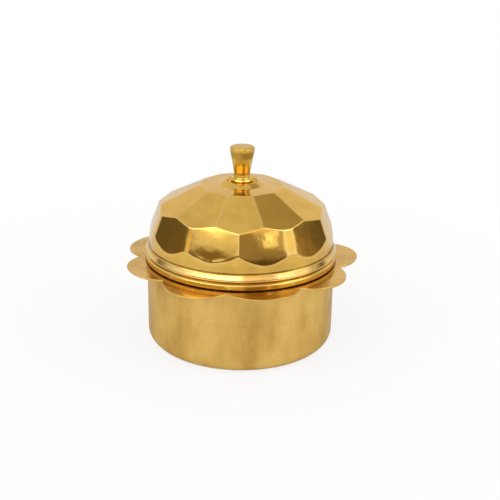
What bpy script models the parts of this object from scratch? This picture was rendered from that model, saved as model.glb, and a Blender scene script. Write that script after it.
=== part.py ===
"""Small brass kumkum box: a drawn cup with a lobed ring at its mouth and a lift-off faceted lid.

Metres, +Z up. The origin is the centre of the cup's flat base, on the axis of the cup, lid and knob.
The front of the box is towards -Y. Lid pieces are measured from the lid's own lower edge.
"""

import math

import bmesh
import bpy
import numpy as np

# Sheet metal and fits
CUP_SHEET = 0.0005
RING_SHEET = 0.0005
LID_SHEET = 0.0005
SEAT_GAP = 0.0003
LID_FIT_CLEARANCE = 0.00035
MERGE_DISTANCE = 0.000001
CUT_OVERRUN = 0.002

# Cup: straight wall, rounded foot, and a neck that stands up inside the lid
CUP_RADIUS = 0.0250
CUP_WALL_HEIGHT = 0.0221
CUP_FOOT_ROUNDING = 0.0033
CUP_SHOULDER_ROUNDING = 0.0003
NECK_STEP = 0.0009
NECK_ROOT_ROUNDING = 0.0002

# Lobed ring: flat sheet, each lobe one arc between two pointed notches
LOBE_COUNT = 9
NOTCH_OVERHANG = 0.00185
LOBE_REACH = 0.0045
LOBE_PHASE = math.radians(3.97)

# Lid edge, upwards from the lid's lower edge: lip, groove, bead, corner, skirt
LIP_HEIGHT = 0.0016
LIP_FLARE = 0.0005
LIP_ROUNDING = 0.0003
LIP_SLOPE_RISE = 0.0004
BEAD_HEIGHT = 0.0023
BEAD_RISE = 0.00035
BEAD_ROUNDING = 0.0009
BEAD_SLOPE_RISE = 0.0005
SKIRT_STEP = 0.0005
SKIRT_LEAN = math.radians(1.3)

# Lid crown: shallow cone, raised ring and the dish that the knob stands in
CROWN_HEIGHT = 0.0198
CROWN_FALL = math.radians(2.6)
CROWN_SHOULDER_ROUNDING = 0.010
CROWN_RING_RADIUS = 0.0065
CROWN_RING_WIDTH = 0.0016
CROWN_RING_RISE = 0.00025
DISH_DEPTH = 0.0001

# Lid facets: a steep row round the shoulder and a shallow row up to the crown
FACET_COUNT = 11
FACET_PHASE = math.radians(-0.8)
UPPER_FACET_TILT = math.radians(27.4)
CROWN_MARGIN = 0.00405
FACET_WAIST_INSET = 0.00335
FACET_FOOT_RISE = 0.00175

# Knob: turned from rod, with a tenon that is peened over a washer inside the lid
KNOB_HEIGHT = 0.0097
KNOB_TOP_RADIUS = 0.0031
KNOB_RIM_HEIGHT = 0.0006
KNOB_RIM_ROUNDING = 0.0003
KNOB_NECK_RADIUS = 0.0020
KNOB_NECK_HEIGHT = 0.0036
KNOB_NECK_ROUNDING = 0.0060
COLLAR_RADIUS = 0.0026
COLLAR_HEIGHT = 0.0013
COLLAR_SLOPE_RISE = 0.0004
COLLAR_ROUNDING = 0.0002
TENON_RADIUS = 0.0012
PEEN_RADIUS = 0.0019
PEEN_HEIGHT = 0.0006
PEEN_ROUNDING = 0.0004
WASHER_RADIUS = 0.0032
WASHER_SHEET = 0.0005

# Mesh fineness
SHEET_SEGMENTS = 5 * FACET_COUNT
KNOB_SEGMENTS = 32
LOBE_STEPS = 12
ROUNDING_STEPS = 5
SMALL_ROUNDING = 0.0005
SMALL_ROUNDING_STEPS = 2
SMOOTH_LIMIT = math.radians(25.0)

# Heights and radii that follow from the sizes above
RING_BOTTOM = CUP_WALL_HEIGHT + SEAT_GAP
LID_BASE = RING_BOTTOM + RING_SHEET + SEAT_GAP
NECK_RADIUS = CUP_RADIUS - NECK_STEP
LOBE_NOTCH_RADIUS = CUP_RADIUS + NOTCH_OVERHANG
LOBE_TIP_RADIUS = LOBE_NOTCH_RADIUS + LOBE_REACH
GROOVE_RADIUS = NECK_RADIUS + LID_FIT_CLEARANCE + LID_SHEET
LIP_RADIUS = GROOVE_RADIUS + LIP_FLARE
BEAD_RADIUS = GROOVE_RADIUS + BEAD_RISE
SKIRT_RADIUS = GROOVE_RADIUS - SKIRT_STEP
BEAD_TOP = LIP_HEIGHT + BEAD_HEIGHT
UPPER_FACET_TOP_RADIUS = CROWN_RING_RADIUS + CROWN_MARGIN
FACET_WAIST_RADIUS = SKIRT_RADIUS - FACET_WAIST_INSET
FACET_FOOT_HEIGHT = BEAD_TOP + FACET_FOOT_RISE
FACET_FOOT_RADIUS = SKIRT_RADIUS - FACET_FOOT_RISE * math.tan(SKIRT_LEAN)
NECK_TOP = LID_BASE + BEAD_TOP - LID_SHEET - SEAT_GAP
DISH_HEIGHT = CROWN_HEIGHT - DISH_DEPTH
KNOB_BASE = DISH_HEIGHT + SEAT_GAP
WASHER_TOP = DISH_HEIGHT - LID_SHEET - SEAT_GAP
PEEN_TOP = WASHER_TOP - WASHER_SHEET - SEAT_GAP
BORE_RADIUS = TENON_RADIUS + SEAT_GAP

# Polished and satin brass, linear colour
POLISHED_BRASS = (0.80, 0.50, 0.13, 1.0)
SATIN_BRASS = (0.70, 0.45, 0.13, 1.0)


def clear_scene():
    for obj in list(bpy.data.objects):
        bpy.data.objects.remove(obj, do_unlink=True)


def brass(name, colour, roughness):
    material = bpy.data.materials.new(name)
    material.use_nodes = True
    shader = material.node_tree.nodes["Principled BSDF"]
    shader.inputs["Base Color"].default_value = colour
    shader.inputs["Metallic"].default_value = 1.0
    shader.inputs["Roughness"].default_value = roughness
    material.diffuse_color = colour
    return material


def add_object(name, bm, material=None, parent=None):
    bmesh.ops.remove_doubles(bm, verts=bm.verts, dist=MERGE_DISTANCE)
    bmesh.ops.recalc_face_normals(bm, faces=bm.faces)
    mesh = bpy.data.meshes.new(name)
    bm.to_mesh(mesh)
    bm.free()
    obj = bpy.data.objects.new(name, mesh)
    bpy.context.collection.objects.link(obj)
    if material:
        mesh.materials.append(material)
    obj.parent = parent
    smooth(obj)
    return obj


def smooth(obj):
    obj.data.shade_smooth()
    obj.data.set_sharp_from_angle(angle=SMOOTH_LIMIT)


def turns(corners):
    """Signed turn of an open outline at each inner corner, negative where its outside bulges."""
    steps = np.diff(corners, axis=0)
    headings = np.arctan2(steps[:, 1], steps[:, 0])
    return (np.diff(headings) + math.pi) % (2 * math.pi) - math.pi


def rounded(corners, roundings):
    """An open outline with each inner corner replaced by an arc of its own radius."""
    corners = np.array(corners, dtype=float)
    points = [corners[0]]
    for index, turn in enumerate(turns(corners), start=1):
        corner = corners[index]
        radius = roundings[index]
        back = corners[index - 1] - corner
        ahead = corners[index + 1] - corner
        back_length = np.linalg.norm(back)
        ahead_length = np.linalg.norm(ahead)
        reach = radius * math.tan(abs(turn) / 2)
        reach = min(reach, back_length / 2, ahead_length / 2)
        if reach <= MERGE_DISTANCE:
            points.append(corner)
            continue
        start = corner + back / back_length * reach
        end = corner + ahead / ahead_length * reach
        steps = SMALL_ROUNDING_STEPS if radius < SMALL_ROUNDING else ROUNDING_STEPS
        for share in np.linspace(0, 1, steps + 1):
            points.append(arc_point(start, corner, end, abs(turn), share))
    points.append(corners[-1])
    return np.array(points)


def arc_point(start, corner, end, turn, share):
    """Point at a share of the way along the arc that touches both arms of a corner.

    The arc is written as a rational quadratic curve, whose middle weight is cos(turn / 2).
    """
    weights = np.array([(1 - share) ** 2, 2 * share * (1 - share) * math.cos(turn / 2), share ** 2])
    return (weights[0] * start + weights[1] * corner + weights[2] * end) / weights.sum()


def inset_outline(corners, roundings, depth):
    """The same outline on the other face of the sheet, with its corner radii kept concentric."""
    corners = np.array(corners, dtype=float)
    steps = np.diff(corners, axis=0)
    steps = steps / np.linalg.norm(steps, axis=1)[:, None]
    inward = np.stack([steps[:, 1], -steps[:, 0]], axis=1)
    moved = [corners[0] + inward[0] * depth]
    for before, after, corner in zip(inward[:-1], inward[1:], corners[1:-1]):
        moved.append(corner + (before + after) * depth / (1 + before @ after))
    moved.append(corners[-1] + inward[-1] * depth)
    inner_roundings = list(roundings)
    for index, turn in enumerate(turns(corners), start=1):
        change = -depth if turn < 0 else depth
        inner_roundings[index] = max(roundings[index] + change, 0)
    return np.array(moved), inner_roundings


def spun(outline, segments, closed=False):
    """Solid turned about Z from an outline of radius and height, which may start and end on the axis."""
    bm = bmesh.new()
    verts = [bm.verts.new((radius, 0, height)) for radius, height in outline]
    edges = [bm.edges.new(pair) for pair in zip(verts[:-1], verts[1:])]
    if closed:
        edges.append(bm.edges.new((verts[-1], verts[0])))
    bmesh.ops.spin(bm, geom=verts + edges, cent=(0, 0, 0), axis=(0, 0, 1),
                   angle=2 * math.pi, steps=segments, use_duplicate=False)
    return bm


def cup_outline():
    """Outer outline of the cup from its rim down the neck and wall to the middle of the base."""
    corners = [
        (NECK_RADIUS, NECK_TOP),
        (NECK_RADIUS, CUP_WALL_HEIGHT),
        (CUP_RADIUS, CUP_WALL_HEIGHT),
        (CUP_RADIUS, 0),
        (0, 0),
    ]
    roundings = [0, NECK_ROOT_ROUNDING, CUP_SHOULDER_ROUNDING, CUP_FOOT_ROUNDING, 0]
    return corners, roundings


def make_cup(material):
    corners, roundings = cup_outline()
    outer = rounded(corners, roundings)
    inner = rounded(*inset_outline(corners, roundings, CUP_SHEET))
    outline = np.concatenate([outer[::-1], inner])
    return add_object("cup_body", spun(outline, SHEET_SEGMENTS), material)


def lobe_outline():
    """Outer edge of the ring: in each lobe one arc through both notches and the tip."""
    half = math.pi / LOBE_COUNT
    notch_x = LOBE_NOTCH_RADIUS * math.cos(half)
    notch_y = LOBE_NOTCH_RADIUS * math.sin(half)
    depth = LOBE_TIP_RADIUS - notch_x
    arc_radius = (depth ** 2 + notch_y ** 2) / (2 * depth)
    arc_centre = LOBE_TIP_RADIUS - arc_radius
    sweep = math.atan2(notch_y, notch_x - arc_centre)
    points = []
    for lobe in range(LOBE_COUNT):
        heading = LOBE_PHASE + 2 * half * lobe
        for angle in np.linspace(-sweep, sweep, LOBE_STEPS + 1)[:-1]:
            along = arc_centre + arc_radius * math.cos(angle)
            across = arc_radius * math.sin(angle)
            points.append((
                along * math.cos(heading) - across * math.sin(heading),
                along * math.sin(heading) + across * math.cos(heading),
            ))
    return points


def make_lobed_ring(material):
    """Flat ring round the cup's neck, resting on the shoulder."""
    hole_radius = NECK_RADIUS + SEAT_GAP
    bm = bmesh.new()
    outer = []
    inner = []
    for x, y in lobe_outline():
        angle = math.atan2(y, x)
        outer.append(bm.verts.new((x, y, RING_BOTTOM)))
        inner.append(bm.verts.new((hole_radius * math.cos(angle), hole_radius * math.sin(angle), RING_BOTTOM)))
    for index in range(len(outer)):
        ahead = (index + 1) % len(outer)
        bm.faces.new((outer[index], outer[ahead], inner[ahead], inner[index]))
    raised = bmesh.ops.extrude_face_region(bm, geom=list(bm.faces))
    raised_verts = [item for item in raised["geom"] if isinstance(item, bmesh.types.BMVert)]
    bmesh.ops.translate(bm, verts=raised_verts, vec=(0, 0, RING_SHEET))
    return add_object("scalloped_flange", bm, material)


def lid_outline():
    """Outer outline of the lid before its facets, from the middle of the crown to the lip's edge."""
    ring_top = CROWN_HEIGHT + CROWN_RING_RISE
    ring_inner_radius = CROWN_RING_RADIUS - CROWN_RING_WIDTH
    skirt_slope = math.tan(SKIRT_LEAN)
    crown_slope = math.tan(CROWN_FALL)
    level_corner_radius = SKIRT_RADIUS - (CROWN_HEIGHT - BEAD_TOP) * skirt_slope
    shoulder_radius = level_corner_radius + (level_corner_radius - CROWN_RING_RADIUS) * crown_slope * skirt_slope
    shoulder_height = CROWN_HEIGHT - (shoulder_radius - CROWN_RING_RADIUS) * crown_slope
    corners = [
        (0, DISH_HEIGHT),
        (ring_inner_radius - CROWN_RING_RISE, DISH_HEIGHT),
        (ring_inner_radius, ring_top),
        (CROWN_RING_RADIUS - CROWN_RING_RISE, ring_top),
        (CROWN_RING_RADIUS, CROWN_HEIGHT),
        (shoulder_radius, shoulder_height),
        (SKIRT_RADIUS, BEAD_TOP),
        (BEAD_RADIUS, BEAD_TOP - BEAD_SLOPE_RISE),
        (BEAD_RADIUS, LIP_HEIGHT + BEAD_SLOPE_RISE),
        (GROOVE_RADIUS, LIP_HEIGHT),
        (LIP_RADIUS, LIP_HEIGHT - LIP_SLOPE_RISE),
        (LIP_RADIUS, 0),
    ]
    roundings = [
        0, 0, 0, 0, 0,
        CROWN_SHOULDER_ROUNDING, 0, BEAD_ROUNDING, BEAD_ROUNDING, 0, LIP_ROUNDING, 0,
    ]
    return corners, roundings


def facet_body(name, depth, lid_axis):
    """Gem whose sides are the planes of both facet rows, moved inwards by depth.

    In the upright section through a facet's middle its plane is
    normal_r * radius + normal_z * height = reach. The upper plane tilts down from the crown's edge.
    The lower plane runs from the waist, where its peak is, down to its foot on the skirt. Two
    neighbours of one row and the plane of the other row meet in one point, which lies on the
    section between the two neighbours.
    """
    half = math.pi / FACET_COUNT
    top_height = CROWN_HEIGHT - (UPPER_FACET_TOP_RADIUS - CROWN_RING_RADIUS) * math.tan(CROWN_FALL)
    upper = np.array([math.sin(UPPER_FACET_TILT), math.cos(UPPER_FACET_TILT)])
    upper_reach = upper @ np.array([UPPER_FACET_TOP_RADIUS, top_height])
    waist_height = (upper_reach - upper[0] * FACET_WAIST_RADIUS * math.cos(half)) / upper[1]
    lower = np.array([waist_height - FACET_FOOT_HEIGHT, FACET_FOOT_RADIUS - FACET_WAIST_RADIUS])
    lower = lower / np.linalg.norm(lower)
    lower_reach = lower @ np.array([FACET_WAIST_RADIUS, waist_height])
    reaches = np.array([upper_reach, lower_reach]) - depth
    upper_between = upper * np.array([math.cos(half), 1])
    lower_between = lower * np.array([math.cos(half), 1])
    peak_radius, peak_height = np.linalg.solve(np.array([upper_between, lower]), reaches)
    fork_radius, fork_height = np.linalg.solve(np.array([upper, lower_between]), reaches)
    apex_height = reaches[0] / upper[1]
    foot_height = -CUT_OVERRUN
    foot_radius = (reaches[1] - lower[1] * foot_height) / lower_between[0]

    bm = bmesh.new()
    apex = bm.verts.new((0, 0, apex_height))
    peaks = []
    forks = []
    feet = []
    for index in range(FACET_COUNT):
        fork_angle = FACET_PHASE + 2 * half * index - math.pi / 2
        peak_angle = fork_angle + half
        forks.append(bm.verts.new(at_angle(fork_radius, fork_angle, fork_height)))
        feet.append(bm.verts.new(at_angle(foot_radius, fork_angle, foot_height)))
        peaks.append(bm.verts.new(at_angle(peak_radius, peak_angle, peak_height)))
    for index in range(FACET_COUNT):
        ahead = (index + 1) % FACET_COUNT
        bm.faces.new((feet[index], feet[ahead], forks[ahead], peaks[index], forks[index]))
        bm.faces.new((forks[index], peaks[index], apex, peaks[index - 1]))
    bm.faces.new(feet[::-1])
    return add_object(name, bm, parent=lid_axis)


def at_angle(radius, angle, height):
    return (radius * math.cos(angle), radius * math.sin(angle), height)


def boolean(obj, operation, other):
    modifier = obj.modifiers.new(other.name, 'BOOLEAN')
    modifier.operation = operation
    modifier.solver = 'EXACT'
    modifier.object = other
    other.hide_render = True
    other.display_type = 'WIRE'


def apply_cuts(obj, cutters):
    """Keep the cut mesh and delete the cutters, so that the facets' edges can be shaded sharp."""
    bpy.context.view_layer.update()
    evaluated = obj.evaluated_get(bpy.context.evaluated_depsgraph_get())
    mesh = bpy.data.meshes.new_from_object(evaluated)
    mesh.name = obj.name
    obj.modifiers.clear()
    obj.data = mesh
    for cutter in cutters:
        bpy.data.objects.remove(cutter, do_unlink=True)
    smooth(obj)


def make_lid_dome(material, lid_axis):
    """Pressed sheet dome: turned blank cut by the facet planes outside and by the same planes inside."""
    corners, roundings = lid_outline()
    outer = rounded(corners, roundings)
    inner_corners, inner_roundings = inset_outline(corners, roundings, LID_SHEET)
    inner = rounded(inner_corners, inner_roundings)
    inner_lip_radius = inner[-1][0]
    dome = add_object(
        "lid_dome", spun(np.concatenate([outer, [(0, 0)]]), SHEET_SEGMENTS), material, lid_axis)
    hollow = add_object(
        "lid_hollow_cutter",
        spun(np.concatenate([inner, [(inner_lip_radius, -CUT_OVERRUN), (0, -CUT_OVERRUN)]]), SHEET_SEGMENTS),
        material, lid_axis)
    outer_facets = facet_body("outer_facet_cutter", 0, lid_axis)
    inner_facets = facet_body("inner_facet_cutter", LID_SHEET, lid_axis)
    bore_outline = [
        (0, DISH_HEIGHT + CUT_OVERRUN),
        (BORE_RADIUS, DISH_HEIGHT + CUT_OVERRUN),
        (BORE_RADIUS, DISH_HEIGHT - CUT_OVERRUN),
        (0, DISH_HEIGHT - CUT_OVERRUN),
    ]
    bore = add_object("tenon_bore_cutter", spun(bore_outline, KNOB_SEGMENTS), parent=lid_axis)
    boolean(hollow, 'INTERSECT', inner_facets)
    boolean(dome, 'INTERSECT', outer_facets)
    boolean(dome, 'DIFFERENCE', hollow)
    boolean(dome, 'DIFFERENCE', bore)
    apply_cuts(dome, [hollow, outer_facets, inner_facets, bore])
    return dome


def knob_outline():
    """Outline of the knob from the middle of its top down to the middle of the peened tenon."""
    top = KNOB_BASE + KNOB_HEIGHT
    corners = [
        (0, top),
        (KNOB_TOP_RADIUS, top),
        (KNOB_TOP_RADIUS, top - KNOB_RIM_HEIGHT),
        (KNOB_NECK_RADIUS, KNOB_BASE + KNOB_NECK_HEIGHT),
        (KNOB_NECK_RADIUS, KNOB_BASE + COLLAR_HEIGHT + COLLAR_SLOPE_RISE),
        (COLLAR_RADIUS, KNOB_BASE + COLLAR_HEIGHT),
        (COLLAR_RADIUS, KNOB_BASE),
        (TENON_RADIUS, KNOB_BASE),
        (TENON_RADIUS, PEEN_TOP),
        (PEEN_RADIUS, PEEN_TOP),
        (PEEN_RADIUS, PEEN_TOP - PEEN_HEIGHT),
        (0, PEEN_TOP - PEEN_HEIGHT),
    ]
    roundings = [
        0, KNOB_RIM_ROUNDING, KNOB_RIM_ROUNDING, KNOB_NECK_ROUNDING, COLLAR_ROUNDING,
        COLLAR_ROUNDING, COLLAR_ROUNDING, 0, 0, 0, PEEN_ROUNDING, 0,
    ]
    return rounded(corners, roundings)


def make_knob(material, lid_axis):
    return add_object("knob", spun(knob_outline(), KNOB_SEGMENTS), material, lid_axis)


def make_washer(material, lid_axis):
    outline = [
        (BORE_RADIUS, WASHER_TOP),
        (WASHER_RADIUS, WASHER_TOP),
        (WASHER_RADIUS, WASHER_TOP - WASHER_SHEET),
        (BORE_RADIUS, WASHER_TOP - WASHER_SHEET),
    ]
    return add_object("knob_washer", spun(outline, KNOB_SEGMENTS, closed=True), material, lid_axis)


def main():
    clear_scene()
    lid_axis = bpy.data.objects.new("lid_axis", None)
    lid_axis.location = (0, 0, LID_BASE)
    bpy.context.collection.objects.link(lid_axis)
    make_cup(brass("satin brass cup", SATIN_BRASS, 0.35))
    make_lobed_ring(brass("sheet brass ring", SATIN_BRASS, 0.28))
    make_lid_dome(brass("polished brass lid", POLISHED_BRASS, 0.12), lid_axis)
    make_knob(brass("turned brass knob", POLISHED_BRASS, 0.12), lid_axis)
    make_washer(brass("sheet brass washer", SATIN_BRASS, 0.30), lid_axis)


main()
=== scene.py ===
"""Looks of a small brass kumkum box: a drawn cup with a lobed ring, and a faceted lid with a turned knob.

Lengths are in metres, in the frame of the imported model: the middle of the base is at the origin, +Z is
up and the front is towards -Y. A new piece is a grid of points: rows run along an outline of radius
and height, columns run round the axis.
"""

import math

import bpy
import numpy as np
from mathutils import Matrix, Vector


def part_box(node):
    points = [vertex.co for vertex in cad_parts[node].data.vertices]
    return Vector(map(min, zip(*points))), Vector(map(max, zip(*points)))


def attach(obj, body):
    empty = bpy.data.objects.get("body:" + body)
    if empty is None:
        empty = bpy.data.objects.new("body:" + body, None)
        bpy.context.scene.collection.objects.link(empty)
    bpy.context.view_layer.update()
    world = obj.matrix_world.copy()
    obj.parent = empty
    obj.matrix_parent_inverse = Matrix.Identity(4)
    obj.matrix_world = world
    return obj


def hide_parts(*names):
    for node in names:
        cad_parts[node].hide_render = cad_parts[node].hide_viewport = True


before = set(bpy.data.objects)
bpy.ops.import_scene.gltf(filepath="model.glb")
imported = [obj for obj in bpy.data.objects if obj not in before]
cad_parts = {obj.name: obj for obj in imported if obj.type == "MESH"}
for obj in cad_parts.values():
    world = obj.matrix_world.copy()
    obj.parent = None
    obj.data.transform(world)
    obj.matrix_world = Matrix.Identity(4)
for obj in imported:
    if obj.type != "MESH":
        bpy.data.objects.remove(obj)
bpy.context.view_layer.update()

MM = 0.001

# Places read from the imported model
cup_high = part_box("cup_body")[1]
ring_low, ring_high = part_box("scalloped_flange")
lid_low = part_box("lid_dome")[0]
knob_low, knob_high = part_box("knob")
washer_low, washer_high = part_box("knob_washer")

# Cup
CUP_RADIUS = cup_high.x
CUP_SHEET = 0.5 * MM
FOOT_ROUNDING = 3.3 * MM
NECK_TOP = cup_high.z
NECK_RADIUS = CUP_RADIUS - 0.9 * MM
SEAT_GAP = 0.3 * MM
SHOULDER = ring_low.z - SEAT_GAP
# Where the draw was stopped
DRAW_RING_HEIGHT = 13.4 * MM

# Ring
LOBE_COUNT = 9
NOTCH_RADIUS = CUP_RADIUS + 1.85 * MM
TIP_RADIUS = NOTCH_RADIUS + 4.5 * MM
LOBE_PHASE = math.radians(3.97)
LOBE_STEPS = 40
RING_EDGE_ROUNDING = 0.14 * MM
# How far the lobes' tips are bent. A sine of the lobe's number gives each its own share, up or down.
LOBE_BEND = 0.35 * MM
LOBE_BEND_STEP = 2.7
LOBE_BEND_START = 0.8
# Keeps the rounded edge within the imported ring's box
INSIDE_BOX = 0.998

# Lid
LID_BASE = lid_low.z
LID_SHEET = 0.5 * MM
GROOVE_RADIUS = NECK_RADIUS + 0.35 * MM + LID_SHEET
LIP_HEIGHT = 1.6 * MM
LIP_RADIUS = GROOVE_RADIUS + 0.5 * MM
LIP_DROP = 0.12 * MM
BEAD_TOP = LIP_HEIGHT + 2.3 * MM
BEAD_RADIUS = GROOVE_RADIUS + 0.35 * MM
SKIRT_RADIUS = GROOVE_RADIUS - 0.5 * MM
SKIRT_LEAN = math.radians(1.3)
CROWN_HEIGHT = 19.8 * MM
CROWN_FALL = math.radians(2.6)
CROWN_RING_RADIUS = 7.3 * MM
DISH_RADIUS = 3.5 * MM
CROWN_RING_RISE = 1.0 * MM
DISH_DEPTH = 0.15 * MM
FACET_COUNT = 11
FACET_PHASE = math.radians(-0.8)
UPPER_FACET_TILT = math.radians(27.4)
CROWN_EDGE_RADIUS = 10.55 * MM
FACET_WAIST_INSET = 3.35 * MM
FACET_FOOT_RISE = 1.75 * MM
FACET_EDGE_SOFTNESS = 0.06 * MM
RIDGE_WIDTH = 0.16 * MM
# How far the facets' edges take the paler ridge colour, as a share of the bead's: rubbed wear with a
# painted highlight
EDGE_WEAR_AND_HIGHLIGHT = 0.66
# How far each lower facet swells in its middle, from the first one right of the front
FACET_SWELLS = np.array([0.3, 0.14, 0.1, 0.18, 0.12, 0.2, 0.14, 0.18, 0.12, 0.1, 0.3])[:, None, None] * MM
# How deep a narrow bevel cuts each upright edge between lower facets, from the front one rightwards.
# A negative depth leaves the edge whole.
BEVELS = np.array([-0.3, 0.26, 0.05, 0.12, -0.3, 0.1, 0.2, -0.3, 0.08, 0.14, 0.22])[:, None, None] * MM
# Height of the low ridge that pressing left above the foot of some lower facets
FOOT_RIDGES = np.array([0, 0, 0.08, 0, 0.1, 0, 0, 0.08, 0, 0, 0.2])[:, None, None] * MM
FOOT_RIDGE_HALF_WIDTH = 0.36 * MM
FOOT_RIDGE_PLACE = 0.75 * MM
# The ridges rise and fall round the lid with the product of two sines of this many waves each
FOOT_RIDGE_WAVES = (61, 37)

# Knob, with its tenon through the lid and the peened end under the washer
KNOB_SEAT = LID_BASE + CROWN_HEIGHT - DISH_DEPTH
KNOB_TOP_RADIUS = 3.25 * MM
KNOB_NECK_RADIUS = 2.08 * MM
COLLAR_RADIUS = 2.8 * MM
TENON_RADIUS = 1.2 * MM
BORE_RADIUS = 1.5 * MM
PEEN_RADIUS = 1.9 * MM
PEEN_HEIGHT = 0.6 * MM

# Grid fineness
COLUMNS = 360
SMALL_COLUMNS = 128
HALF_FACET_COLUMNS = 16
# Rows of the lid's faceted part, outside and inside: on the crown, both facet rows and the skirt
OUTER_ROWS = (8, 24, 28, 12)
INNER_ROWS = (3, 8, 8, 3)

# Studio cards. Each stands nearer than the one before, so that later ones cover earlier ones.
CARD_RADIUS = 1.3
CARD_SPACING = 0.02

# Brown of the painted shade in grooves, creases, gaps and under overhangs, also used for a faint real
# line where the cup's draw was stopped
SHADE_AND_DIRT_CODE = "5E300E"

# Size of the tarnish specks, and how deep a full one would be etched
SPECK_SIZE = 2.2 * MM
SPECK_DEPTH = 0.0006 * MM


def hex_colour(code):
    """sRGB hex to linear RGBA."""
    channels = np.array([int(code[index:index + 2], 16) for index in (0, 2, 4)]) / 255
    linear = np.where(channels <= 0.04045, channels / 12.92, ((channels + 0.055) / 1.055) ** 2.4)
    return (*[float(value) for value in linear], 1.0)


def put(tree, kind, inputs=None, **settings):
    """Adds a node with its settings. An input is given a value, or another node's output to link."""
    made = tree.nodes.new(kind)
    for key, value in settings.items():
        setattr(made, key, value)
    for key, value in (inputs or {}).items():
        if isinstance(value, bpy.types.NodeSocket):
            tree.links.new(value, made.inputs[key])
        else:
            made.inputs[key].default_value = value
    return made


def smooth_step(value, start, end):
    """Rises smoothly from 0 at start to 1 at end: 3 t squared minus 2 t cubed."""
    share = np.clip((value - start) / (end - start), 0, 1)
    return share ** 2 * (3 - 2 * share)


def rounded(points, fineness=math.radians(6)):
    """Outline through (radius, height, rounding) corners, each inner corner turned into an arc.

    The arc is the rational quadratic curve over the corner whose middle weight is the cosine of half
    the bend.
    """
    corners = np.array([point[:2] for point in points], dtype=float)
    pieces = [corners[:1]]
    for index in range(1, len(corners) - 1):
        corner = corners[index]
        back = corners[index - 1] - corner
        ahead = corners[index + 1] - corner
        back_length = np.linalg.norm(back)
        ahead_length = np.linalg.norm(ahead)
        bend = math.pi - math.acos(np.clip(back @ ahead / back_length / ahead_length, -1, 1))
        reach = min(points[index][2] * math.tan(bend / 2), back_length / 2.02, ahead_length / 2.02)
        if reach < 1e-7:
            pieces.append(corner[None])
            continue
        start = corner + back / back_length * reach
        end = corner + ahead / ahead_length * reach
        share = np.linspace(0, 1, max(3, math.ceil(bend / fineness) + 1))[:, None]
        weights = np.concatenate(
            [(1 - share) ** 2, 2 * share * (1 - share) * math.cos(bend / 2), share ** 2], axis=1)
        pieces.append(weights @ np.array([start, corner, end]) / weights.sum(axis=1)[:, None])
    pieces.append(corners[-1:])
    return np.concatenate(pieces)


def subdivided(outline, spacing):
    """The outline with its straight runs cut up, and with a close point by each end of a long run.

    The close points keep a rounding's shading from spreading over the flat beside it.
    """
    support = 0.05 * MM
    long_run = 0.5 * MM
    pieces = []
    for start, end in zip(outline[:-1], outline[1:]):
        length = np.linalg.norm(end - start)
        share = np.linspace(0, 1, max(1, math.ceil(length / spacing)) + 1)[:-1]
        if length > long_run:
            share = np.unique(np.concatenate([share, [support / length, 1 - support / length]]))
        pieces.append(start + (end - start) * share[:, None])
    return np.concatenate(pieces + [outline[-1:]])


def turned(outline, columns):
    """Grid of an outline carried round the axis: x = r cos a, y = r sin a, z = height."""
    angles = np.arange(columns) * 2 * math.pi / columns
    radius = outline[:, :1]
    height = np.broadcast_to(outline[:, 1:], (len(outline), columns))
    return np.stack([radius * np.cos(angles), radius * np.sin(angles), height], axis=2)


def surface(name, grid, looped=False, marks=None):
    """Mesh of a grid that closes round its columns. A looped grid's last row joins its first.

    A first or last row that lies on the axis becomes one pole with triangles round it. Rows run down
    the outside, so that faces point outwards. marks are attributes, one number for each grid point.
    """
    rows, columns = grid.shape[:2]
    poles = [not looped and np.ptp(grid[row], axis=0).max() < 1e-9 for row in (0, -1)]
    inner = grid[int(poles[0]):rows - int(poles[1])]
    index = np.arange(len(inner) * columns).reshape(-1, columns)
    verts = [inner.reshape(-1, 3)]
    faces = []
    if poles[0]:
        top = np.full(columns, len(inner) * columns)
        faces += np.stack([top, index[0], np.roll(index[0], -1)], axis=1).tolist()
        verts.append(grid[0, :1])
    if poles[1]:
        bottom = np.full(columns, len(inner) * columns + int(poles[0]))
        faces += np.stack([bottom, np.roll(index[-1], -1), index[-1]], axis=1).tolist()
        verts.append(grid[-1, :1])
    if looped:
        index = np.concatenate([index, index[:1]])
    ahead = np.roll(index, -1, axis=1)
    faces += np.stack([index[:-1], index[1:], ahead[1:], ahead[:-1]], axis=2).reshape(-1, 4).tolist()
    mesh = bpy.data.meshes.new(name)
    mesh.from_pydata(np.concatenate(verts).tolist(), [], faces)
    mesh.shade_smooth()
    for key, values in (marks or {}).items():
        mesh.attributes.new(key, 'FLOAT', 'POINT').data.foreach_set("value", values.ravel())
    made = bpy.data.objects.new(name, mesh)
    bpy.context.collection.objects.link(made)
    return made


def finished(piece, material, slot, body, *nodes):
    """Gives a piece its material, and says what it rides on and which nodes it stands for. slot is not used.
    """
    piece.data.materials.append(material)
    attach(piece, body)
    if nodes:
        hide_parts(*nodes)


def make_camera():
    """Long lens a quarter of a metre in front, looking down 20.5 degrees and leaning by one degree."""
    lens = bpy.data.cameras.new("camera")
    lens.sensor_width = 36
    lens.lens = 69.84
    camera = bpy.data.objects.new("camera", lens)
    distance = 260 * MM
    look_down = math.radians(20.48)
    lean = math.radians(1.0)
    aim_x = 2.42 * MM
    aim_z = 24.4 * MM
    camera.location = (aim_x, -distance * math.cos(look_down), aim_z + distance * math.sin(look_down))
    turn = Matrix.Rotation(math.pi / 2 - look_down, 3, 'X') @ Matrix.Rotation(lean, 3, 'Z')
    camera.rotation_euler = turn.to_euler()
    bpy.context.scene.collection.objects.link(camera)
    bpy.context.scene.camera = camera


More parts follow.
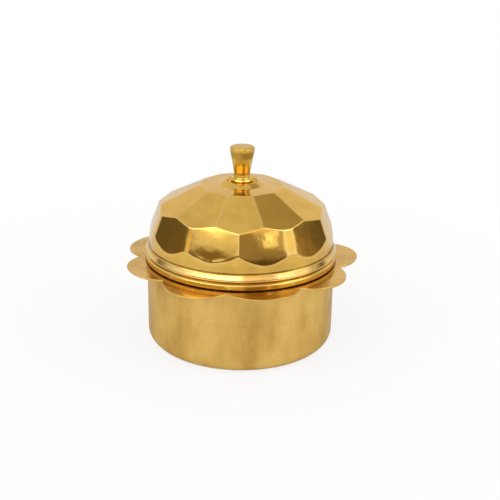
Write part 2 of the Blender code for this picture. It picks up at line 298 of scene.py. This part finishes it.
def make_floor():
    """White table, lit by the studio. Half of the white that metal mirrors in it is given, and most of
    what the camera sees. Far from the box all of it is given, so that the table has no visible edge.
    The camera's share is the mirrored one plus more_near, which grows to more_far.
    """
    half = 1.0
    corners = [(-half, -half, 0), (half, -half, 0), (half, half, 0), (-half, half, 0)]
    mirrored_white = 0.48
    more_near = 0.34
    more_far = 0.52
    mesh = bpy.data.meshes.new("floor")
    mesh.from_pydata(corners, [], [(0, 1, 2, 3)])
    floor = bpy.data.objects.new("floor", mesh)
    floor.location.z = -0.02 * MM
    bpy.context.collection.objects.link(floor)
    material = bpy.data.materials.new("matt white laminate")
    material.use_nodes = True
    tree = material.node_tree
    tree.nodes.clear()
    matt = put(tree, "ShaderNodeBsdfDiffuse", {"Color": hex_colour("DEDEDE")})
    white = put(tree, "ShaderNodeEmission", {"Color": hex_colour("FFFFFF"), "Strength": 1.0})
    rays = put(tree, "ShaderNodeLightPath").outputs
    seen = put(tree, "ShaderNodeMath", {
        0: rays["Is Camera Ray"], 1: rays["Is Glossy Ray"]}, operation='MAXIMUM').outputs[0]
    seen = put(tree, "ShaderNodeMath", {
        0: seen, 1: rays["Is Transmission Ray"]}, operation='MAXIMUM').outputs[0]
    place = put(tree, "ShaderNodeTexCoord").outputs["Object"]
    away = put(tree, "ShaderNodeVectorMath", {0: place}, operation='LENGTH').outputs["Value"]
    given = put(tree, "ShaderNodeMapRange", {
        "Value": away, "From Min": 40 * MM, "From Max": 160 * MM,
        "To Min": more_near, "To Max": more_far}, interpolation_type='SMOOTHSTEP').outputs[0]
    share = put(tree, "ShaderNodeMath", {
        0: rays["Is Camera Ray"], 1: given}, operation='MULTIPLY').outputs[0]
    share = put(tree, "ShaderNodeMath", {
        0: seen, 1: mirrored_white, 2: share}, operation='MULTIPLY_ADD').outputs[0]
    mixed = put(tree, "ShaderNodeMixShader", {0: share, 1: matt.outputs[0], 2: white.outputs[0]})
    put(tree, "ShaderNodeOutputMaterial", {"Surface": mixed.outputs[0]})
    mesh.materials.append(material)


def studio_card(radius, name, turns, heights, softness, code, strength):
    """Part of a sphere round the table, whose cover fades out over its borders.

    turns are degrees from the front, positive to the right, and heights degrees above the horizon:
    x = R sin(turn) cos(height), y = -R cos(turn) cos(height), z = R sin(height). A bound that lies
    more than softness past 180 degrees, the horizon or the top leaves no fade there.
    """
    step = 2.0
    turn = np.arange(max(turns[0] - softness, -180), min(turns[1] + softness, 180) + step, step)
    height = np.arange(max(heights[0] - softness, 0), min(heights[1] + softness, 90) + 0.1, step)
    turn, height = np.meshgrid(turn, height)
    cover = (
        smooth_step(turn, turns[0] - softness, turns[0] + softness)
        * smooth_step(-turn, -turns[1] - softness, -turns[1] + softness)
        * smooth_step(height, heights[0] - softness, heights[0] + softness)
        * smooth_step(-height, -heights[1] - softness, -heights[1] + softness))
    side = np.radians(turn)
    up = np.radians(height)
    verts = radius * np.stack([np.sin(side) * np.cos(up), -np.cos(side) * np.cos(up), np.sin(up)], axis=2)
    index = np.arange(turn.size).reshape(turn.shape)
    faces = np.stack([index[:-1, :-1], index[1:, :-1], index[1:, 1:], index[:-1, 1:]], axis=2).reshape(-1, 4)
    mesh = bpy.data.meshes.new(name)
    mesh.from_pydata(verts.reshape(-1, 3).tolist(), [], faces.tolist())
    mesh.attributes.new("cover", 'FLOAT', 'POINT').data.foreach_set("value", cover.ravel())
    material = bpy.data.materials.new(name)
    material.use_nodes = True
    tree = material.node_tree
    tree.nodes.clear()
    clear = put(tree, "ShaderNodeBsdfTransparent")
    glow = put(tree, "ShaderNodeEmission", {"Color": hex_colour(code), "Strength": strength})
    share = put(tree, "ShaderNodeAttribute", attribute_name="cover").outputs["Fac"]
    mixed = put(tree, "ShaderNodeMixShader", {0: share, 1: clear.outputs[0], 2: glow.outputs[0]})
    put(tree, "ShaderNodeOutputMaterial", {"Surface": mixed.outputs[0]})
    mesh.materials.append(material)
    card = bpy.data.objects.new(name, mesh)
    card.visible_camera = False
    bpy.context.collection.objects.link(card)


def make_studio():
    """White room, two lamps with diffusers in front, and the darker parts of the room that brass mirrors."""
    world = bpy.data.worlds.new("white room")
    bpy.context.scene.world = world
    world.use_nodes = True
    world.node_tree.nodes.clear()
    white = put(world.node_tree, "ShaderNodeBackground", {"Color": (1, 1, 1, 1), "Strength": 1.0})
    put(world.node_tree, "ShaderNodeOutputWorld", {"Surface": white.outputs[0]})
    cards = [
        ("back_wall_left", (-400, -106), (-20, 38), 5, "FFFAF2", 0.98),
        ("back_wall_right", (106, 400), (-20, 40), 5, "FFFAF2", 1.0),
        ("ceiling", (-400, 400), (64, 200), 6, "FFFFFF", 0.84),
        ("ceiling_left", (-400, -112), (38, 200), 6, "FFFFFF", 0.86),
        ("ceiling_right", (112, 400), (40, 200), 6, "FFFFFF", 0.84),
        ("ceiling_beam", (118, 164), (42, 66), 6, "FFF2DC", 0.52),
        ("dark_end_of_room", (-114, 116), (-20, 16), 5, "FFEFD2", 0.16),
        ("bench_on_the_left", (-99, -82), (-20, 12), 4, "FFE4B0", 0.22),
        ("bench_on_the_right", (72, 96), (-20, 12), 4, "FFE0B0", 0.4),
        ("lit_end_of_room", (-62, 4), (-20, 17), 6, "FFDCB4", 0.29),
        ("doorstep", (4, 48), (-20, 13), 5, "FFD6A8", 0.13),
        ("dark_doorway", (6, 42), (12, 31), 4, "FFEBD2", 0.42),
        ("cream_wall", (-4, 54), (33, 60), 4, "FFE4C8", 1.5),
        ("left_lamp_stand", (-72, -60), (2, 30), 3, "FFE4B4", 1.1),
        ("left_wall", (-84, 4), (20, 34), 4, "FFFFFF", 1.12),
        ("left_diffuser", (-84, 2), (29, 58), 4, "FFFFFF", 3.0),
        ("right_wall", (47, 88), (2, 40), 4, "FFFFFF", 1.3),
        ("right_diffuser", (46, 98), (30, 58), 4, "FFFFFF", 3.0),
        ("window_by_the_door", (32, 38), (20, 30), 2.5, "FFFFFF", 2.1),
        ("roof_light", (-400, 400), (84, 200), 4, "FFF4E4", 1.5),
    ]
    for index, card in enumerate(cards):
        studio_card(CARD_RADIUS - CARD_SPACING * index, *card)


def brass(name, code, dull_code, edge_code, roughness, cloud_size, tarnish, mark_size, mark_depth,
          wave_size, wave_depth, shade_and_dirt_bands=(), lean=0.0, worn_and_highlight_code=None, upright=1.0):
    """Brass or solder whose tarnish lies in clouds and specks, with tool marks and a slightly uneven face.

    mark_size is the spacing of the rings that buffing and turning leave round the axis: they follow
    radius plus height, so they ring both the walls and the flats. shade_and_dirt_bands lists (height,
    half width, amount) of bands darkened towards one brown: painted shade in grooves, creases, gaps
    and under overhangs, and faint real lines such as where a draw was stopped. lean is the anisotropy
    that the rings give: it draws reflections out across them, up and down the wall. edge_code tints
    what is mirrored at a low angle, where a thin film of oxide dims it. worn_and_highlight_code is the
    paler colour of ridges: rubbed wear, with a painted highlight on the bead and the facets' edges.
    The clouds are upright times as tall as they are wide.
    """
    material = bpy.data.materials.new(name)
    material.use_nodes = True
    tree = material.node_tree
    shader = tree.nodes["Principled BSDF"]
    shader.inputs["Metallic"].default_value = 1.0
    shader.inputs["Specular Tint"].default_value = hex_colour(edge_code)
    place = put(tree, "ShaderNodeTexCoord").outputs["Object"]
    split = put(tree, "ShaderNodeSeparateXYZ", {0: place}).outputs
    flat = put(tree, "ShaderNodeVectorMath", {0: place, 1: (1, 1, 0)}, operation='MULTIPLY').outputs[0]
    radius = put(tree, "ShaderNodeVectorMath", {0: flat}, operation='LENGTH').outputs["Value"]
    along = put(tree, "ShaderNodeMath", {0: radius, 1: split["Z"]}, operation='ADD').outputs[0]

    squeezed = put(tree, "ShaderNodeVectorMath", {
        0: place, 1: (1, 1, 1 / upright)}, operation='MULTIPLY').outputs[0]
    clouds = put(tree, "ShaderNodeTexNoise", {
        "Vector": squeezed, "Scale": 1 / cloud_size, "Detail": 4.0, "Roughness": 0.55}).outputs["Fac"]
    dull = put(tree, "ShaderNodeMapRange", {
        "Value": clouds, "From Min": 0.40, "From Max": 0.68, "To Max": tarnish}).outputs[0]
    specks = put(tree, "ShaderNodeTexNoise", {
        "Vector": place, "Scale": 1 / SPECK_SIZE, "Detail": 1.0}).outputs["Fac"]
    specks = put(tree, "ShaderNodeMapRange", {
        "Value": specks, "From Min": 0.68, "From Max": 0.84, "To Max": tarnish * 0.6}).outputs[0]
    dull = put(tree, "ShaderNodeMath", {0: dull, 1: specks}, operation='MAXIMUM').outputs[0]
    colour = put(tree, "ShaderNodeMix", {
        "Factor": dull, 6: hex_colour(code), 7: hex_colour(dull_code)}, data_type='RGBA').outputs[2]

    marks = put(tree, "ShaderNodeTexNoise", {
        "W": along, "Scale": 1 / mark_size, "Detail": 1.0}, noise_dimensions='1D').outputs["Fac"]
    polish = put(tree, "ShaderNodeMapRange", {
        "Value": clouds, "From Min": 0.35, "From Max": 0.68,
        "To Min": roughness * 0.85, "To Max": roughness * (1 + tarnish)}).outputs[0]
    polish = put(tree, "ShaderNodeMath", {
        0: marks, 1: roughness * 0.25, 2: polish}, operation='MULTIPLY_ADD').outputs[0]
    # Ridges take a paler colour: rubbed wear, with a painted highlight on the bead and the facets' edges.
    if worn_and_highlight_code:
        ridge = put(tree, "ShaderNodeAttribute", attribute_name="ridge").outputs["Fac"]
        wear_and_highlight = put(tree, "ShaderNodeMapRange", {
            "Value": ridge, "From Min": 0.4, "From Max": 0.95, "To Max": 0.65}).outputs[0]
        colour = put(tree, "ShaderNodeMix", {
            "Factor": wear_and_highlight, 6: colour, 7: hex_colour(worn_and_highlight_code)}, data_type='RGBA').outputs[2]

    # Each band darkens towards the brown and roughens: painted shade in grooves, creases, gaps and under
    # overhangs, besides faint real lines.
    for height, half_width, amount in shade_and_dirt_bands:
        away = put(tree, "ShaderNodeMath", {0: split["Z"], 1: height}, operation='SUBTRACT').outputs[0]
        away = put(tree, "ShaderNodeMath", {0: away}, operation='ABSOLUTE').outputs[0]
        depth = put(tree, "ShaderNodeMapRange", {
            "Value": away, "From Min": half_width * 0.3, "From Max": half_width,
            "To Min": amount, "To Max": 0.0}, interpolation_type='SMOOTHSTEP').outputs[0]
        broken = put(tree, "ShaderNodeMapRange", {
            "Value": clouds, "From Min": 0.3, "From Max": 0.6, "To Min": 0.55, "To Max": 1.0}).outputs[0]
        depth = put(tree, "ShaderNodeMath", {0: depth, 1: broken}, operation='MULTIPLY').outputs[0]
        colour = put(tree, "ShaderNodeMix", {
            "Factor": depth, 6: colour, 7: hex_colour(SHADE_AND_DIRT_CODE)}, data_type='RGBA').outputs[2]
        rough = put(tree, "ShaderNodeMath", {0: depth, 1: 0.35}, operation='MULTIPLY').outputs[0]
        polish = put(tree, "ShaderNodeMath", {0: polish, 1: rough}, operation='ADD').outputs[0]

    waves = put(tree, "ShaderNodeTexNoise", {
        "Vector": place, "Scale": 1 / wave_size, "Detail": 1.5}).outputs["Fac"]
    face = put(tree, "ShaderNodeBump", {"Height": waves, "Distance": wave_depth}).outputs[0]
    face = put(tree, "ShaderNodeBump", {"Height": marks, "Distance": mark_depth, "Normal": face}).outputs[0]
    face = put(tree, "ShaderNodeBump", {
        "Height": specks, "Distance": -SPECK_DEPTH, "Normal": face}).outputs[0]
    tree.links.new(colour, shader.inputs["Base Color"])
    tree.links.new(polish, shader.inputs["Roughness"])
    tree.links.new(face, shader.inputs["Normal"])
    if lean:
        shader.inputs["Anisotropic"].default_value = lean
        shader.inputs["Anisotropic Rotation"].default_value = 0.25
        tangent = put(tree, "ShaderNodeTangent", direction_type='RADIAL', axis='Z').outputs[0]
        tree.links.new(tangent, shader.inputs["Tangent"])
    return material


def make_cup(material):
    """Drawn cup: from the middle of its inside up to the rim, then down the outside to the base."""
    inner = CUP_RADIUS - CUP_SHEET
    inner_neck = NECK_RADIUS - CUP_SHEET
    outline = rounded([
        (0, CUP_SHEET), (inner, CUP_SHEET, FOOT_ROUNDING - CUP_SHEET),
        (inner, SHOULDER - CUP_SHEET, 0.3 * MM), (inner_neck, SHOULDER - CUP_SHEET, 0.5 * MM),
        (inner_neck, NECK_TOP, 0.2 * MM), (NECK_RADIUS, NECK_TOP, 0.2 * MM),
        (NECK_RADIUS, SHOULDER, 0.2 * MM), (CUP_RADIUS, SHOULDER, 0.3 * MM),
        (CUP_RADIUS, 0, FOOT_ROUNDING), (0, 0),
    ])
    grid = turned(subdivided(outline, 1.0 * MM), COLUMNS)
    finished(surface("drawn_cup", grid), material, "satin_brass", "cup", "cup_body")


def make_ring(material):
    """Ring of sheet with nine lobes. Each lobe's edge is one arc through both notches and the tip.

    The section (top, rounded edge, underside) is carried along that edge. A lobe is bent up or down
    by the square of the distance from the cup, each by its own amount.
    """
    half = math.pi / LOBE_COUNT
    notch_x = NOTCH_RADIUS * math.cos(half)
    notch_y = NOTCH_RADIUS * math.sin(half)
    depth = TIP_RADIUS - notch_x
    arc_radius = (depth ** 2 + notch_y ** 2) / (2 * depth)
    arc_centre = TIP_RADIUS - arc_radius
    sweep = math.atan2(notch_y, notch_x - arc_centre)
    sweeps = np.linspace(-sweep, sweep, LOBE_STEPS + 1)[:-1]
    along = arc_centre + arc_radius * np.cos(sweeps)
    across = arc_radius * np.sin(sweeps)
    headings = LOBE_PHASE + 2 * half * np.arange(LOBE_COUNT)[:, None]
    edge = INSIDE_BOX * np.stack([
        (along * np.cos(headings) - across * np.sin(headings)).ravel(),
        (along * np.sin(headings) + across * np.cos(headings)).ravel()], axis=1)
    polar = np.arctan2(edge[:, 1], edge[:, 0])
    hole = (NECK_RADIUS + SEAT_GAP) * np.stack([np.cos(polar), np.sin(polar)], axis=1)
    run = np.linalg.norm(edge - hole, axis=1)
    outward = (edge - hole) / run[:, None]

    size = RING_EDGE_ROUNDING
    top_rows = 16
    quarter_rows = 5
    under_rows = 7
    quarter = np.linspace(0, math.pi / 2, quarter_rows + 1)[1:]
    share = np.concatenate([
        np.linspace(0, 1, top_rows), np.ones(2 * quarter_rows), np.linspace(1, 0, under_rows + 1)[1:]])
    extra = np.concatenate([
        np.zeros(top_rows), size * np.sin(quarter), size * np.cos(quarter), np.zeros(under_rows)])
    height = np.concatenate([
        np.full(top_rows, ring_high.z), ring_high.z - size * (1 - np.cos(quarter)),
        ring_low.z + size * (1 - np.sin(quarter)), np.full(under_rows, ring_low.z)])
    reach = share[:, None] * (run - size) + extra[:, None]
    flat = hole + outward * reach[..., None]
    distance = np.hypot(flat[..., 0], flat[..., 1])
    past_wall = np.clip((distance - NOTCH_RADIUS) / (TIP_RADIUS - NOTCH_RADIUS), 0, 1)
    bend = LOBE_BEND * np.repeat(np.sin(LOBE_BEND_STEP * np.arange(LOBE_COUNT) + LOBE_BEND_START), LOBE_STEPS)
    grid = np.concatenate([flat, (height[:, None] + bend * past_wall ** 2)[..., None]], axis=2)
    finished(surface("lobed_ring", grid, looped=True), material, "sheet_brass", "cup", "scalloped_flange")


def clustered(count, pull=0.8):
    """Shares from 0 up to 1, crowded towards both ends: t - pull sin(2 pi t) / (2 pi)."""
    share = np.linspace(0, 1, count + 1)[:-1]
    return share - pull * np.sin(2 * math.pi * share) / (2 * math.pi)


def crossing(first, second):
    """Radius and height where two section lines a r + b h = c meet."""
    fall = first[0] * second[1] - second[0] * first[1]
    radius = (first[2] * second[1] - second[2] * first[1]) / fall
    height = (first[0] * second[2] - second[0] * first[2]) / fall
    return radius, height


def faceted_face(depth, softness, row_counts, relief):
    """Angles, radius, height and ridge of the faceted part, from the crown ring down to the bead.

    A grid point lies on a ray from a centre inside the dome, at the soft minimum of the distances to
    the crown, the skirt and every plane of both facet rows and of the bevels: nearest minus softness
    times the log of the sum of exp((nearest - distance) / softness). A lower facet swells in its
    middle by 1 minus the square of its height and has a bell-shaped ridge above its foot, both times
    relief. Rows and columns crowd at the facets' edges. ridge is near 1 where two surfaces meet.
    """
    half = math.pi / FACET_COUNT
    edge_height = CROWN_HEIGHT - (CROWN_EDGE_RADIUS - CROWN_RING_RADIUS) * math.tan(CROWN_FALL)
    waist_radius = SKIRT_RADIUS - FACET_WAIST_INSET
    foot_radius = SKIRT_RADIUS - FACET_FOOT_RISE * math.tan(SKIRT_LEAN)
    foot_height = BEAD_TOP + FACET_FOOT_RISE
    upper = np.array([math.sin(UPPER_FACET_TILT), math.cos(UPPER_FACET_TILT)])
    upper_reach = upper @ np.array([CROWN_EDGE_RADIUS, edge_height])
    waist_height = (upper_reach - upper[0] * waist_radius * math.cos(half)) / upper[1]
    lower = np.array([waist_height - foot_height, foot_radius - waist_radius])
    lower = lower / np.linalg.norm(lower)
    lower_reach = lower @ np.array([waist_radius, waist_height])
    crown = (math.sin(CROWN_FALL), math.cos(CROWN_FALL),
             math.sin(CROWN_FALL) * CROWN_RING_RADIUS + math.cos(CROWN_FALL) * CROWN_HEIGHT - depth)
    skirt = (math.cos(SKIRT_LEAN), math.sin(SKIRT_LEAN),
             math.cos(SKIRT_LEAN) * SKIRT_RADIUS + math.sin(SKIRT_LEAN) * BEAD_TOP - depth)

    steps = clustered(HALF_FACET_COLUMNS) * half
    angles = (np.arange(2 * FACET_COUNT)[:, None] * half + steps).ravel() + FACET_PHASE - math.pi / 2
    forks = FACET_PHASE - math.pi / 2 + 2 * half * np.arange(FACET_COUNT)[:, None]
    upper_cos = np.cos(angles - forks)
    lower_cos = np.cos(angles - forks - half)
    upper_line = (upper[0] * upper_cos.max(axis=0), upper[1], upper_reach - depth)
    lower_line = (lower[0] * lower_cos.max(axis=0), lower[1], lower_reach - depth)
    flat = np.ones_like(angles)
    breaks = [
        (CROWN_RING_RADIUS * flat, (CROWN_HEIGHT - depth) * flat),
        crossing(crown, upper_line), crossing(upper_line, lower_line), crossing(lower_line, skirt),
        ((SKIRT_RADIUS - depth) * flat, BEAD_TOP * flat),
    ]
    centre = 0.5 * BEAD_TOP
    bearings = [np.arctan2(radius, height - centre) for radius, height in breaks]
    bearing = np.concatenate([
        start + (end - start) * clustered(count)[:, None]
        for start, end, count in zip(bearings[:-1], bearings[1:], row_counts)] + [bearings[-1][None]])
    out = np.sin(bearing)
    up = np.cos(bearing)

    def distance(line, cosines):
        weight = np.maximum(line[0] * cosines * out + line[1] * up, 1e-3)
        return (line[2] - line[1] * centre) / weight

    edge_length = math.hypot(lower[0] * math.cos(half), lower[1])
    bevel = (lower[0] * math.cos(half) / edge_length, lower[1] / edge_length,
             lower_reach / edge_length - depth - BEVELS)
    bevel_distance = distance(bevel, upper_cos[:, None, :])
    upper_distance = distance((upper[0], upper[1], upper_reach - depth), upper_cos[:, None, :])
    lower_distance = distance((lower[0], lower[1], lower_reach - depth), lower_cos[:, None, :])
    middle = (waist_height + foot_height) / 2
    height_share = (centre + lower_distance.min(axis=0) * up - middle) / (waist_height - middle)
    side_share = np.abs(np.sin((angles - forks[0]) * FACET_COUNT / 2))
    off_ridge = centre + lower_distance.min(axis=0) * up - breaks[3][1] - FOOT_RIDGE_PLACE
    uneven = 0.5 + 0.5 * np.sin(FOOT_RIDGE_WAVES[0] * angles) * np.sin(FOOT_RIDGE_WAVES[1] * angles + 1)
    bell = np.exp(-(off_ridge / FOOT_RIDGE_HALF_WIDTH) ** 2)
    foot_ridge = uneven * smooth_step(side_share, 0.5, 0.9) * bell
    swell = np.clip(1 - height_share ** 2, 0, 1) * side_share
    lower_distance = lower_distance + relief * (FACET_SWELLS * swell + FOOT_RIDGES * foot_ridge)
    distances = np.concatenate([
        upper_distance, lower_distance, bevel_distance,
        distance(crown, 1.0)[None], distance(skirt, 1.0)[None]])
    nearest = distances.min(axis=0)
    reach = nearest - softness * np.log(np.exp((nearest - distances) / softness).sum(axis=0))
    crowd = np.exp((nearest - distances) / RIDGE_WIDTH).sum(axis=0)
    ridge = np.clip(2 * (1 - 1 / crowd), 0, 1)
    return angles, reach * out, centre + reach * up, ridge


def make_lid(material):
    """Pressed lid: dish, crown ring, faceted face, bead, groove and lip, then the inside back up."""
    dish = CROWN_HEIGHT - DISH_DEPTH
    ring_top = CROWN_HEIGHT + CROWN_RING_RISE
    top = rounded([
        (BORE_RADIUS, dish - LID_SHEET), (BORE_RADIUS, dish, 0.1 * MM), (DISH_RADIUS, dish, 0.25 * MM),
        (DISH_RADIUS + 0.55 * MM, ring_top, 0.5 * MM), (DISH_RADIUS + 1.0 * MM, ring_top, 0.7 * MM),
        (CROWN_RING_RADIUS - 1.25 * MM, CROWN_HEIGHT + 0.05 * MM, 0.8 * MM),
        (CROWN_RING_RADIUS, CROWN_HEIGHT),
    ])
    angles, radius, height, ridge = faceted_face(0, FACET_EDGE_SOFTNESS, OUTER_ROWS, 1)
    lip_inner = LIP_RADIUS - LID_SHEET
    bead_inner = BEAD_RADIUS - LID_SHEET
    edge = rounded([
        (SKIRT_RADIUS, BEAD_TOP + 0.1 * MM), (SKIRT_RADIUS + 0.02 * MM, BEAD_TOP - 0.1 * MM, 0.15 * MM),
        (SKIRT_RADIUS + 0.3 * MM, BEAD_TOP - 0.3 * MM, 0.5 * MM),
        (BEAD_RADIUS + 0.1 * MM, BEAD_TOP - 1.5 * MM, 1.2 * MM),
        (BEAD_RADIUS, LIP_HEIGHT + 0.4 * MM, 0.5 * MM), (GROOVE_RADIUS, LIP_HEIGHT + 0.1 * MM, 0.12 * MM),
        (GROOVE_RADIUS + 0.03 * MM, LIP_HEIGHT - 0.15 * MM, 0.12 * MM),
        (LIP_RADIUS, LIP_HEIGHT - 0.5 * MM, 0.45 * MM), (LIP_RADIUS, -LIP_DROP, 0.2 * MM),
        (lip_inner, -LIP_DROP, 0.2 * MM), (lip_inner, LIP_HEIGHT - 0.4 * MM, 0.3 * MM),
        (GROOVE_RADIUS - LID_SHEET, LIP_HEIGHT, 0.3 * MM), (bead_inner, LIP_HEIGHT + 0.6 * MM, 0.5 * MM),
        (bead_inner, BEAD_TOP - 0.9 * MM, 0.5 * MM),
        (SKIRT_RADIUS - LID_SHEET, BEAD_TOP - 0.3 * MM, 0.3 * MM), (SKIRT_RADIUS - LID_SHEET, BEAD_TOP),
    ], math.radians(12))
    inside = faceted_face(LID_SHEET, 2 * FACET_EDGE_SOFTNESS, INNER_ROWS, 0)
    crown_inside = np.array([
        (CROWN_RING_RADIUS - 1.5 * MM, CROWN_HEIGHT - LID_SHEET),
        (DISH_RADIUS + 0.9 * MM, ring_top - LID_SHEET),
        (DISH_RADIUS + 0.6 * MM, ring_top - LID_SHEET), (DISH_RADIUS + 0.2 * MM, dish - LID_SHEET)])

    plain = [np.repeat(outline[..., None], len(angles), axis=2)
             for outline in (subdivided(top, 0.6 * MM)[:-1], subdivided(edge, 0.6 * MM)[1:-1], crown_inside)]
    radius = np.concatenate([plain[0][:, 0], radius, plain[1][:, 0], inside[1][::-1], plain[2][:, 0]])
    height = np.concatenate([plain[0][:, 1], height, plain[1][:, 1], inside[2][::-1], plain[2][:, 1]])
    marks = np.zeros_like(radius)
    # Paler ridges: rubbed wear with a painted highlight, on the facets' edges and, fully, on the bead.
    marks[len(plain[0]):len(plain[0]) + len(ridge)] = EDGE_WEAR_AND_HIGHLIGHT * ridge
    on_bead = (height > LIP_HEIGHT + 0.4 * MM) & (height < BEAD_TOP)
    marks[on_bead] = smooth_step(radius[on_bead], SKIRT_RADIUS + 0.05 * MM, BEAD_RADIUS - 0.2 * MM)
    grid = np.stack([radius * np.cos(angles), radius * np.sin(angles), height + LID_BASE], axis=2)
    piece = surface("faceted_lid", grid, looped=True, marks={"ridge": marks})
    finished(piece, material, "polished_brass", "lid", "lid_dome")


def make_knob(material):
    """Turned knob: flat top, long cove down to the neck, spread collar, tenon and peened end."""
    top = knob_high.z
    peen_top = knob_low.z + PEEN_HEIGHT
    outline = rounded([
        (0, top), (KNOB_TOP_RADIUS - 0.35 * MM, top, 0.3 * MM), (KNOB_TOP_RADIUS, top - 0.25 * MM, 0.25 * MM),
        (KNOB_TOP_RADIUS - 0.05 * MM, top - 0.9 * MM, 0.6 * MM),
        (KNOB_NECK_RADIUS, KNOB_SEAT + 3.1 * MM, 4 * MM),
        (KNOB_NECK_RADIUS + 0.02 * MM, KNOB_SEAT + 1.95 * MM, 1.0 * MM),
        (COLLAR_RADIUS - 0.25 * MM, KNOB_SEAT + 1.6 * MM, 0.3 * MM),
        (COLLAR_RADIUS, KNOB_SEAT + 1.2 * MM, 0.3 * MM), (COLLAR_RADIUS - 0.05 * MM, KNOB_SEAT, 0.05 * MM),
        (TENON_RADIUS, KNOB_SEAT, 0), (TENON_RADIUS, peen_top, 0), (PEEN_RADIUS, peen_top, 0.1 * MM),
        (PEEN_RADIUS, knob_low.z, 0.4 * MM), (0, knob_low.z),
    ], math.radians(3))
    grid = turned(subdivided(outline, 0.4 * MM), SMALL_COLUMNS)
    finished(surface("turned_knob", grid), material, "turned_brass", "lid", "knob")


def make_washer(material):
    """Cupped washer: a thin flat section whose rim is drawn up against the lid."""
    rise = 0.25 * MM
    radius = washer_high.x
    outline = rounded([
        (BORE_RADIUS, washer_low.z + 0.2 * MM), (BORE_RADIUS, washer_high.z, 0.1 * MM),
        (radius, washer_high.z + rise, 0.12 * MM), (radius, washer_low.z + rise, 0.15 * MM),
        (BORE_RADIUS, washer_low.z, 0.1 * MM), (BORE_RADIUS, washer_low.z + 0.19 * MM),
    ])
    grid = turned(subdivided(outline, 0.4 * MM), SMALL_COLUMNS)
    finished(surface("cupped_washer", grid, looped=True), material, "sheet_brass", "lid", "knob_washer")


def make_solder(material):
    """Run of solder under the ring: its outer face is a hollow quarter round against the cup."""
    inner = NECK_RADIUS + 0.4 * MM
    bottom = SHOULDER + 0.02 * MM
    top = ring_low.z - 0.01 * MM
    leg = 0.4 * MM
    turn = np.linspace(0, math.pi / 2, 9)
    hollow = np.stack([CUP_RADIUS + leg * (1 - np.sin(turn)), top - leg * (1 - np.cos(turn))], axis=1)
    outline = np.concatenate([[(inner, top)], hollow, [(CUP_RADIUS - 0.3 * MM, bottom), (inner, bottom)]])
    finished(surface("solder_run", turned(outline, COLUMNS), looped=True), material, "sheet_brass", "cup")


bpy.context.scene.view_settings.view_transform = 'Standard'
make_camera()
make_floor()
make_studio()

# The cup is drawn in a die and buffed dull on a spindle. The eye gets soft reflections, drawn out
# upright across the fine rings of the buff, half a millimetre apart, and upright clouds of tarnish,
# six or seven millimetres wide and twice as tall, with one faint ring where the draw was stopped.
# The first band is painted shade on the wall under the ring; the second is the faint real line where the draw
# was stopped.
cup_shade_and_draw_line = [(SHOULDER + 0.05 * MM, 0.5 * MM, 0.85), (DRAW_RING_HEIGHT, 0.5 * MM, 0.045)]
make_cup(brass(
    "drawn brass, buffed dull", "DEB868", "AC833C", "D8D6D2", 0.26, 6.5 * MM, 0.5, 0.5 * MM, 0.0006 * MM,
    3.5 * MM, 0.02 * MM, cup_shade_and_draw_line, 0.7, upright=2.2))

# The ring is cut from rolled sheet and wiped, hardly buffed. Its reflections are clear but buckle
# every few millimetres, where cutting and handling have left the sheet uneven.
make_ring(brass(
    "rolled brass sheet", "DCB466", "A67F3A", "E9E9E9", 0.15, 6 * MM, 0.4, 0.6 * MM, 0.001 * MM,
    5 * MM, 0.09 * MM))

# The lid is pressed over a former and mirror buffed. The facets mirror the room almost sharply, with
# the slight waves of pressed sheet, edges rubbed bright and made paler still as a painted highlight, and
# painted shade brown in the grooves.
# Painted shade: in the groove between lip and bead, in the groove at the skirt's foot, along the lip's foot
# over the gap at the ring, and faintly over the lower facets' feet.
lid_painted_shade = [
    (LID_BASE + LIP_HEIGHT, 0.3 * MM, 0.85), (LID_BASE + BEAD_TOP, 0.28 * MM, 0.85),
    (LID_BASE, 0.2 * MM, 0.85), (LID_BASE + BEAD_TOP + 0.4 * MM, 2.4 * MM, 0.1)]
make_lid(brass(
    "pressed brass, mirror buffed", "DEB458", "B5883A", "F2F2F2", 0.09, 5 * MM, 0.3, 0.7 * MM, 0.0005 * MM,
    2.6 * MM, 0.045 * MM, lid_painted_shade, worn_and_highlight_code="ECCE8C"))

# The knob is turned from bar and buffed on the lathe. Bright upright streaks stand beside dark ones,
# broken a little by tool rings a third of a millimetre apart. Painted shade lies brown in the cove
# under its rim and where it meets the dish.
knob_painted_shade = [(KNOB_SEAT, 0.3 * MM, 0.85), (knob_high.z - 2.0 * MM, 1.5 * MM, 0.5)]
make_knob(brass(
    "turned brass", "DEB654", "A5782A", "E8E8E8", 0.08, 3 * MM, 0.4, 0.35 * MM, 0.0015 * MM,
    2.5 * MM, 0.012 * MM, knob_painted_shade))

# The washer is stamped and left as it comes from the press: dull, with small clouds and rings.
make_washer(brass(
    "stamped brass", "D9B267", "9A7136", "E9E9E9", 0.28, 2 * MM, 0.6, 0.4 * MM, 0.002 * MM,
    2 * MM, 0.02 * MM))

# Soft solder lies grey under a brown skin, lumpy at about a millimetre, and hardly shines.
make_solder(brass(
    "soft solder, browned", "A89A84", "6E5B42", "D8D8D8", 0.35, 1.5 * MM, 0.8, 0.5 * MM, 0.002 * MM,
    1 * MM, 0.05 * MM))
